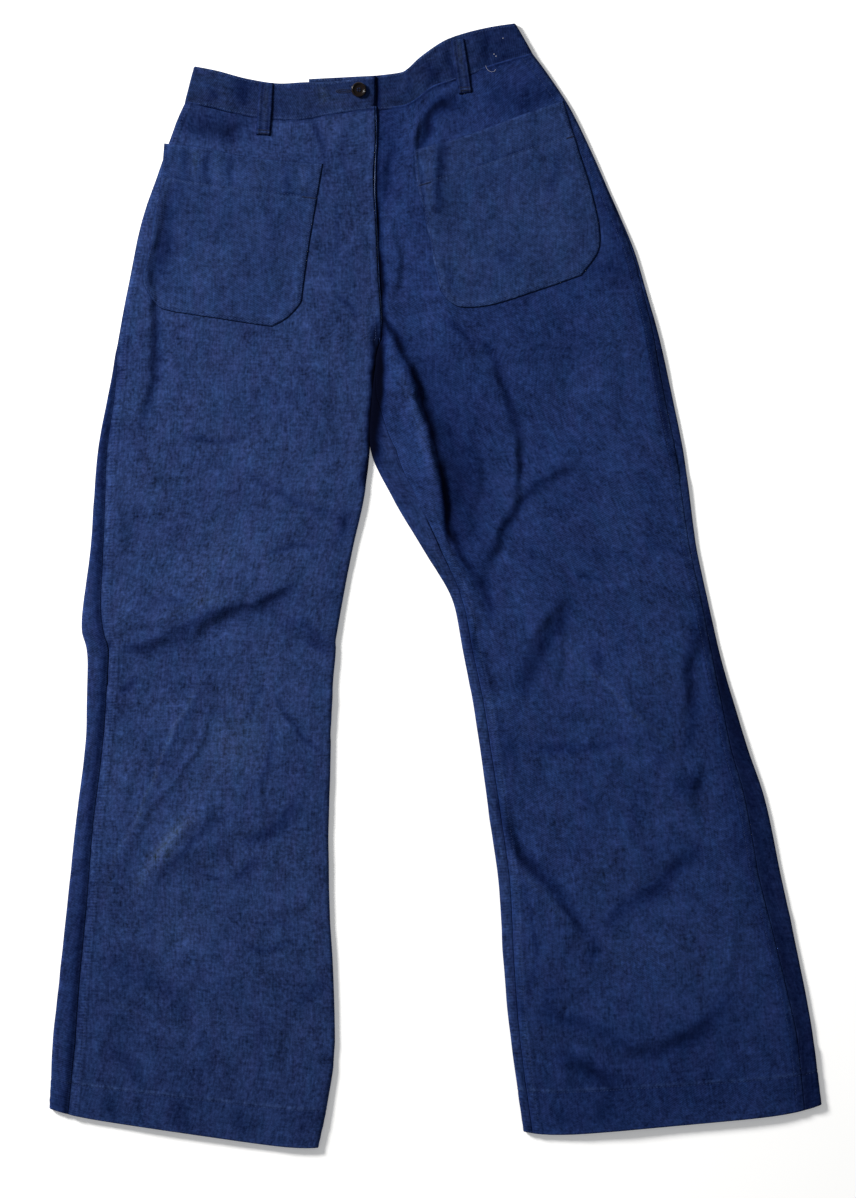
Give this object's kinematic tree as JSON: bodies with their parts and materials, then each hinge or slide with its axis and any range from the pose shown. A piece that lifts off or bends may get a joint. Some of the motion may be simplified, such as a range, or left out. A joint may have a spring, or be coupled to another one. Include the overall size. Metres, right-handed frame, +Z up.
{
  "type": "flared denim trousers laid flat",
  "caption": "High-rise flared denim trousers laid flat and face up, with a buttoned fly waist, two patch pockets and belt loops.",
  "frame": {"origin": "middle of the footprint, on the surface the trousers lie on", "axes": "+Z up, out of the cloth's upper side; +Y from the hems to the waist; +X to the wearer's left"},
  "size_m": [0.771, 1.1237, 0.0112],
  "materials": {
    "denim": "matt indigo denim, slubby and slightly speckled",
    "band_denim": "matt indigo denim, doubled and pressed",
    "pocket_denim": "matt indigo denim, slightly more worn",
    "button": "glossy near-black plastic"
  },
  "bodies": {
    "root": {"front_right": "denim", "front_left": "denim", "back_right": "denim", "back_left": "denim", "waistband": "band_denim", "fly_shield": "denim", "pocket_right": "pocket_denim", "pocket_left": "pocket_denim", "belt_loop_right": "band_denim", "belt_loop_left": "band_denim", "button": "button"}
  },
  "joints": []
}
